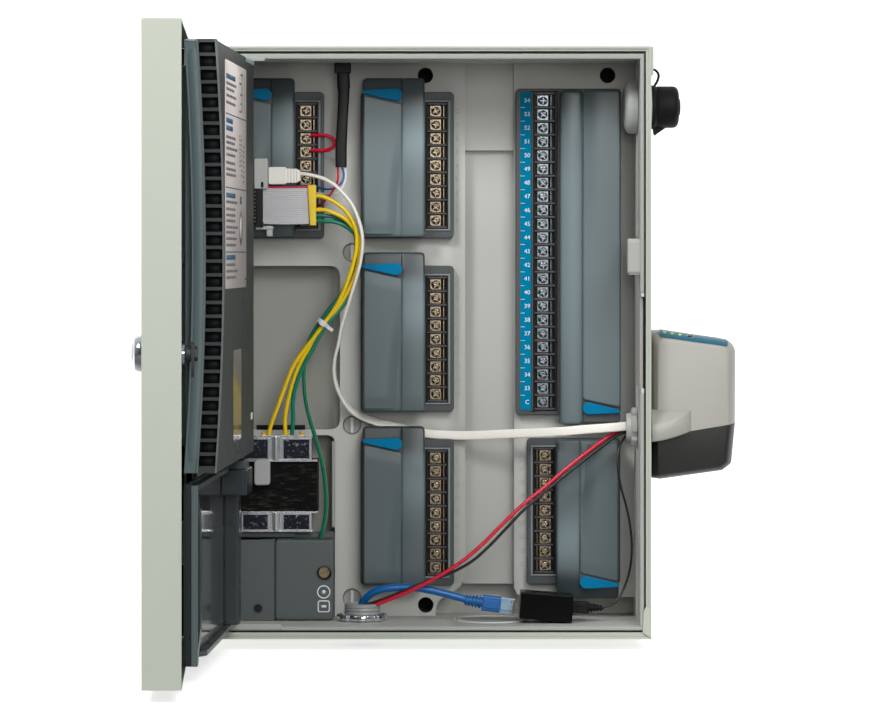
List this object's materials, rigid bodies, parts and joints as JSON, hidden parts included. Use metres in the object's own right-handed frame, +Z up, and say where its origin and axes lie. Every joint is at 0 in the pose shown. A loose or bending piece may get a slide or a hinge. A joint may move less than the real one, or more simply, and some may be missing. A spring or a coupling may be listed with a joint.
{
  "type": "irrigation controller",
  "caption": "Wall-mounted commercial irrigation controller: steel cabinet with hinged door, inner swing frame with facepack, plug-in output modules and a side radio unit.",
  "frame": {"origin": "centre of the cabinet's flat rear mounting face", "axes": "+Y into the wall, out of the rear face; +Z up; +X to the right seen from the front. The front rim is at Y -0.160."},
  "size_m": [0.3893, 0.4663, 0.4032],
  "materials": {
    "sage_powder_coat": "satin powder coat",
    "black_rubber": "matt",
    "zinc_steel": "plated",
    "liner_grey": "fine texture",
    "bright_chrome": "polished",
    "frame_slate": "satin",
    "slate_blue_plastic": "satin",
    "lens_dark": "clear",
    "circuit_green": "solder mask",
    "control_black": "satin",
    "dock_dark": "fine texture",
    "terminal_black": "moulded, plated screws",
    "lever_blue": "satin",
    "core_dark": "varnished",
    "bushing_grey": "satin",
    "ribbon_grey": "satin",
    "wire_yellow": "satin",
    "cable_cream": "satin",
    "cable_blue": "satin",
    "gloss_black": "gloss",
    "wire_red": "satin",
    "fitting_grey": "satin",
    "radio_light": "satin",
    "radio_dark": "satin"
  },
  "bodies": {
    "cabinet": {"cabinet_shell": "sage_powder_coat", "rim_gasket": "black_rubber", "hinge_rod": "zinc_steel", "chassis_liner": "liner_grey", "module_dock_a": "dock_dark", "module_dock_b": "dock_dark", "module_dock_c": "dock_dark", "module_dock_d": "dock_dark", "module_dock_e": "dock_dark", "module_dock_f": "dock_dark", "terminal_block_a": "terminal_black", "terminal_block_b": "terminal_black", "terminal_block_c": "terminal_black", "terminal_block_d": "terminal_black", "terminal_block_e": "terminal_black", "terminal_block_f": "terminal_black", "transformer_core": "core_dark", "transformer_bracket": "zinc_steel", "mains_box": "liner_grey", "mains_box_cover": "liner_grey", "conduit_bushing": "bushing_grey", "conduit_locknut": "bright_chrome", "ribbon_cable": "ribbon_grey", "power_harness": "wire_yellow", "flat_cable": "cable_cream", "patch_cable": "cable_blue", "coupler_box": "gloss_black", "wire_pair": "wire_red", "sensor_cable": "gloss_black", "grommet_nut": "fitting_grey", "port_socket": "fitting_grey", "radio_base": "radio_dark", "radio_body": "radio_light"},
    "door": {"door_shell": "sage_powder_coat", "lock_body": "bright_chrome"},
    "lock_cam": {"lock_cam": "zinc_steel"},
    "swing_frame": {"swing_frame": "frame_slate", "facepack_rear_shell": "slate_blue_plastic", "facepack_front_panel": "slate_blue_plastic", "display_lens": "lens_dark", "facepack_board": "circuit_green"},
    "dial_knob": {"dial_knob": "control_black"},
    "frame_latch": {"frame_latch": "control_black"},
    "port_cap": {"port_cap": "black_rubber"},
    "soft_key_1": {"soft_key_1": "control_black"},
    "soft_key_2": {"soft_key_2": "control_black"},
    "soft_key_3": {"soft_key_3": "control_black"},
    "soft_key_4": {"soft_key_4": "control_black"},
    "module_a": {"module_body_a": "slate_blue_plastic"},
    "lever_a": {"module_lever_a": "lever_blue"},
    "module_b": {"module_body_b": "slate_blue_plastic"},
    "lever_b": {"module_lever_b": "lever_blue"},
    "module_c": {"module_body_c": "slate_blue_plastic"},
    "lever_c": {"module_lever_c": "lever_blue"},
    "module_d": {"module_body_d": "slate_blue_plastic"},
    "lever_d": {"module_lever_d": "lever_blue"},
    "module_e": {"module_body_e": "slate_blue_plastic"},
    "lever_e": {"module_lever_e": "lever_blue"},
    "module_f": {"module_body_f": "slate_blue_plastic"},
    "lever_f": {"module_lever_f": "lever_blue"}
  },
  "joints": [
    {"name": "door_swing", "type": "hinge", "parent": "cabinet", "child": "door", "pos_m": [-0.15, -0.158, 0], "axis": [0, 0, 1], "range_deg": [-5, 87.85]},
    {"name": "frame_swing", "type": "hinge", "parent": "cabinet", "child": "swing_frame", "pos_m": [-0.143, -0.1555, 0], "axis": [0, 0, 1], "range_deg": [-5.27, 92.55]},
    {"name": "lock_turn", "type": "hinge", "parent": "door", "child": "lock_cam", "pos_m": [-0.15107, -0.44925, 0], "axis": [-0.9993, -0.0375, 0], "range_deg": [0, 90]},
    {"name": "dial_turn", "type": "hinge", "parent": "swing_frame", "child": "dial_knob", "pos_m": [-0.15144, -0.35632, 0.008], "axis": [-0.999, 0.0445, 0], "continuous": true},
    {"name": "soft_key_1_press", "type": "slide", "parent": "swing_frame", "child": "soft_key_1", "axis": [0.999, -0.0445, 0], "range_m": [0, 0.0015], "stiffness_N_per_m": 600},
    {"name": "soft_key_2_press", "type": "slide", "parent": "swing_frame", "child": "soft_key_2", "axis": [0.999, -0.0445, 0], "range_m": [0, 0.0015], "stiffness_N_per_m": 600},
    {"name": "soft_key_3_press", "type": "slide", "parent": "swing_frame", "child": "soft_key_3", "axis": [0.999, -0.0445, 0], "range_m": [0, 0.0015], "stiffness_N_per_m": 600},
    {"name": "soft_key_4_press", "type": "slide", "parent": "swing_frame", "child": "soft_key_4", "axis": [0.999, -0.0445, 0], "range_m": [0, 0.0015], "stiffness_N_per_m": 600},
    {"name": "frame_latch_slide", "type": "slide", "parent": "swing_frame", "child": "frame_latch", "axis": [-0.0445, -0.999, 0], "range_m": [0, 0.005]},
    {"name": "module_a_slide", "type": "slide", "parent": "cabinet", "child": "module_a", "axis": [0, -1, 0], "range_m": [0, 0.008]},
    {"name": "lever_a_swing", "type": "hinge", "parent": "module_a", "child": "lever_a", "pos_m": [-0.1049, -0.104, 0.1697], "axis": [0, 1, 0], "range_deg": [0, 50]},
    {"name": "module_b_slide", "type": "slide", "parent": "cabinet", "child": "module_b", "axis": [0, -1, 0], "range_m": [0, 0.008]},
    {"name": "lever_b_swing", "type": "hinge", "parent": "module_b", "child": "lever_b", "pos_m": [-0.0149, -0.104, 0.1697], "axis": [0, 1, 0], "range_deg": [0, 50]},
    {"name": "module_c_slide", "type": "slide", "parent": "cabinet", "child": "module_c", "axis": [0, -1, 0], "range_m": [0, 0.008]},
    {"name": "lever_c_swing", "type": "hinge", "parent": "module_c", "child": "lever_c", "pos_m": [-0.0149, -0.104, 0.04935], "axis": [0, 1, 0], "range_deg": [0, 50]},
    {"name": "module_d_slide", "type": "slide", "parent": "cabinet", "child": "module_d", "axis": [0, -1, 0], "range_m": [0, 0.008]},
    {"name": "lever_d_swing", "type": "hinge", "parent": "module_d", "child": "lever_d", "pos_m": [-0.0149, -0.104, -0.071], "axis": [0, 1, 0], "range_deg": [0, 50]},
    {"name": "module_e_slide", "type": "slide", "parent": "cabinet", "child": "module_e", "axis": [0, -1, 0], "range_m": [0, 0.008]},
    {"name": "lever_e_swing", "type": "hinge", "parent": "module_e", "child": "lever_e", "pos_m": [0.1158, -0.104, -0.1665], "axis": [0, 1, 0], "range_deg": [0, 50]},
    {"name": "module_f_slide", "type": "slide", "parent": "cabinet", "child": "module_f", "axis": [0, -1, 0], "range_m": [0, 0.008]},
    {"name": "lever_f_swing", "type": "hinge", "parent": "module_f", "child": "lever_f", "pos_m": [0.1178, -0.104, -0.0466], "axis": [0, 1, 0], "range_deg": [0, 50]},
    {"name": "port_cap_pull", "type": "slide", "parent": "cabinet", "child": "port_cap", "axis": [1, 0, 0], "range_m": [0, 0.014]}
  ],
  "couplings": [
    {"joint": "frame_swing", "follows": "door_swing", "ratio": 1.0535}
  ]
}
